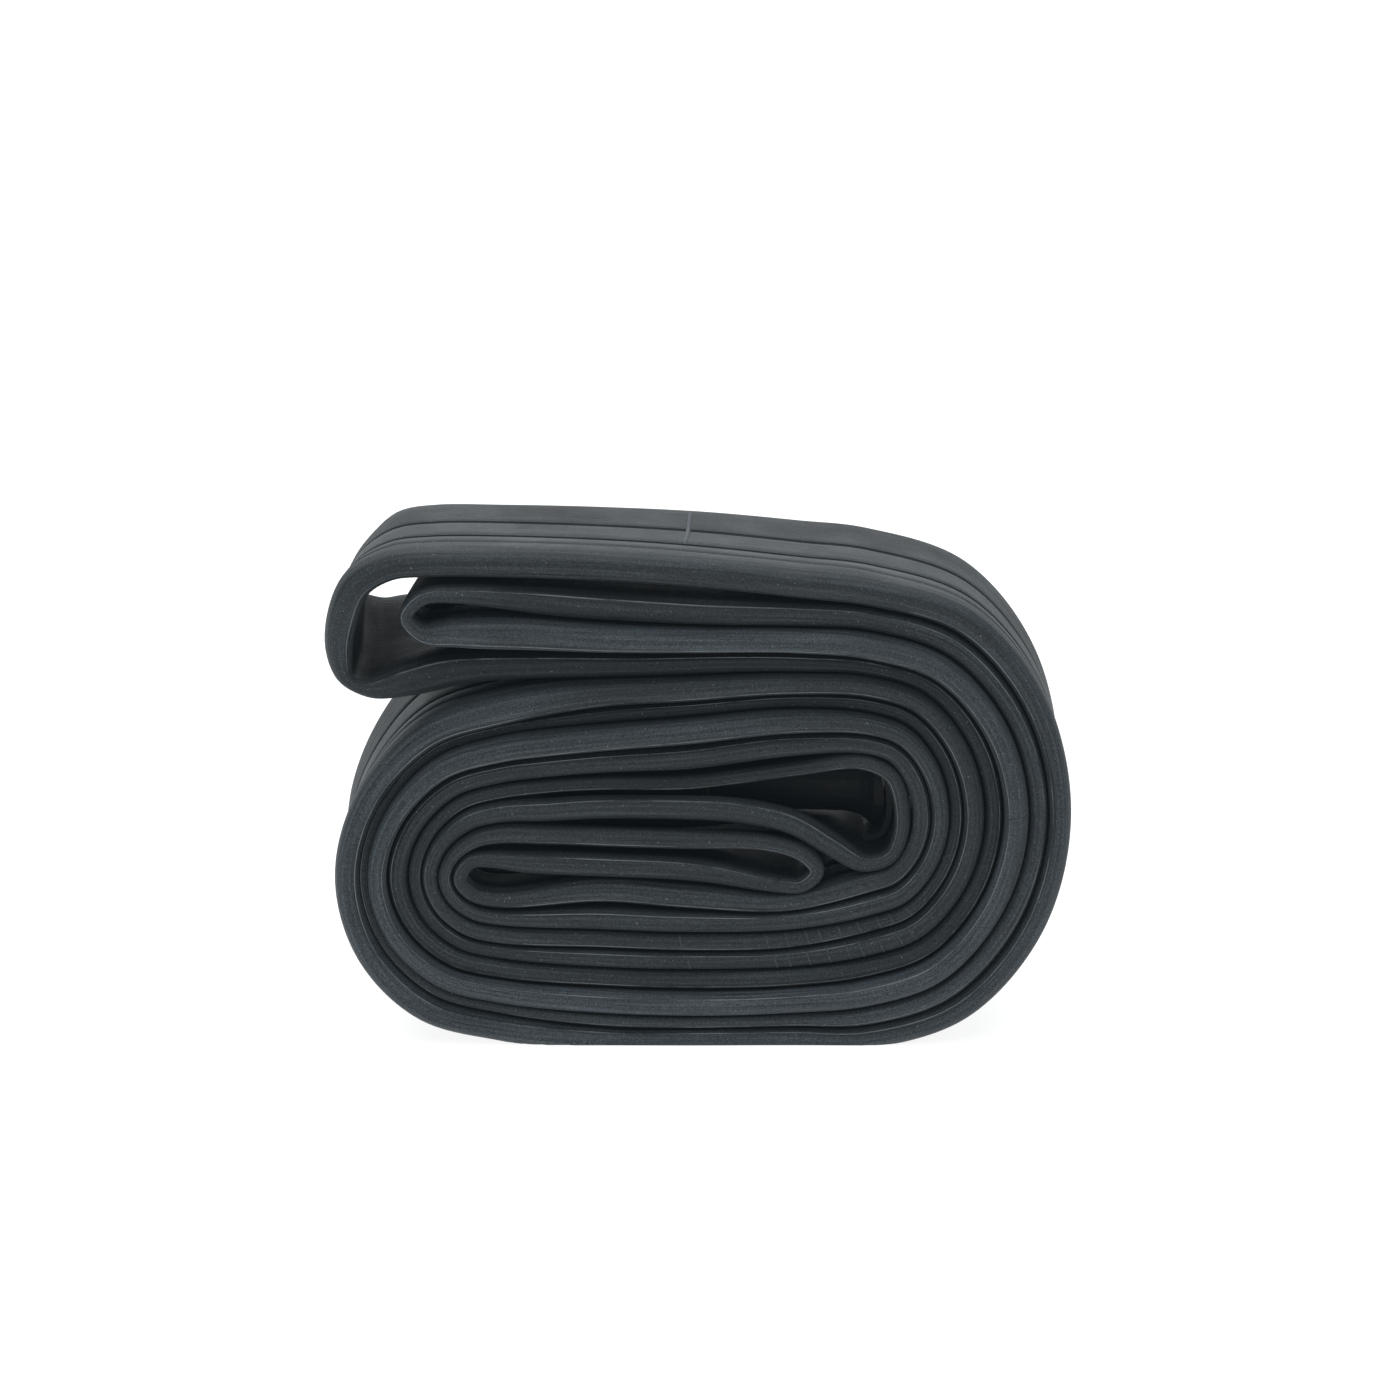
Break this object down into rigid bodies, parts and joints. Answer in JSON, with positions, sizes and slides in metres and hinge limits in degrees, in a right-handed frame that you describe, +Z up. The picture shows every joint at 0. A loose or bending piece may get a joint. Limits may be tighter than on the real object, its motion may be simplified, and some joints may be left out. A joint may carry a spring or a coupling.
{
  "type": "inner tube",
  "caption": "Bicycle inner tube of black butyl rubber, pressed flat and rolled into a bundle, with a rubber-covered valve, valve core and dust cap inside.",
  "frame": {"origin": "centre of the roll's bounding box in x and y, on the surface that it rests on", "axes": "+Z up; +X to the right across the roll; -Y towards the edge of the roll that shows its lanes, so the roll's axis lies along Y"},
  "size_m": [0.1036, 0.0402, 0.0706],
  "materials": {
    "tube_rubber": "matte butyl with a trace of talc",
    "valve_rubber": "satin moulded rubber",
    "brass": "turned",
    "steel": "drawn wire, bright",
    "seal": "smooth red sealing ring",
    "cap_plastic": "moulded, ribbed"
  },
  "bodies": {
    "tube": {"tube_body": "tube_rubber", "valve_patch": "valve_rubber", "stem_cover": "valve_rubber", "stem_insert": "brass", "core_plug": "brass", "core_barrel": "brass", "core_gasket": "seal", "core_spring": "steel"},
    "valve_pin": {"core_pin": "steel", "core_cup": "brass", "cup_seal": "valve_rubber"},
    "cap_lift": {"cap_seal": "valve_rubber"},
    "cap": {"cap_shell": "cap_plastic"}
  },
  "joints": [
    {"name": "pin_press", "type": "slide", "parent": "tube", "child": "valve_pin", "axis": [0.9997, 0, -0.0253], "range_m": [0, 0.0012], "stiffness_N_per_m": 600, "springref_m": -0.001, "deforming": ["core_spring"]},
    {"name": "cap_travel", "type": "slide", "parent": "tube", "child": "cap_lift", "axis": [-0.9997, 0, 0.0253], "range_m": [0, 0.00556]},
    {"name": "cap_turn", "type": "hinge", "parent": "cap_lift", "child": "cap", "pos_m": [0.0256, 0, 0.034], "axis": [-0.9997, 0, 0.0253], "range_deg": [0, 2520]}
  ],
  "couplings": [
    {"joint": "cap_turn", "follows": "cap_travel", "rad_per_m": 7913.3}
  ]
}
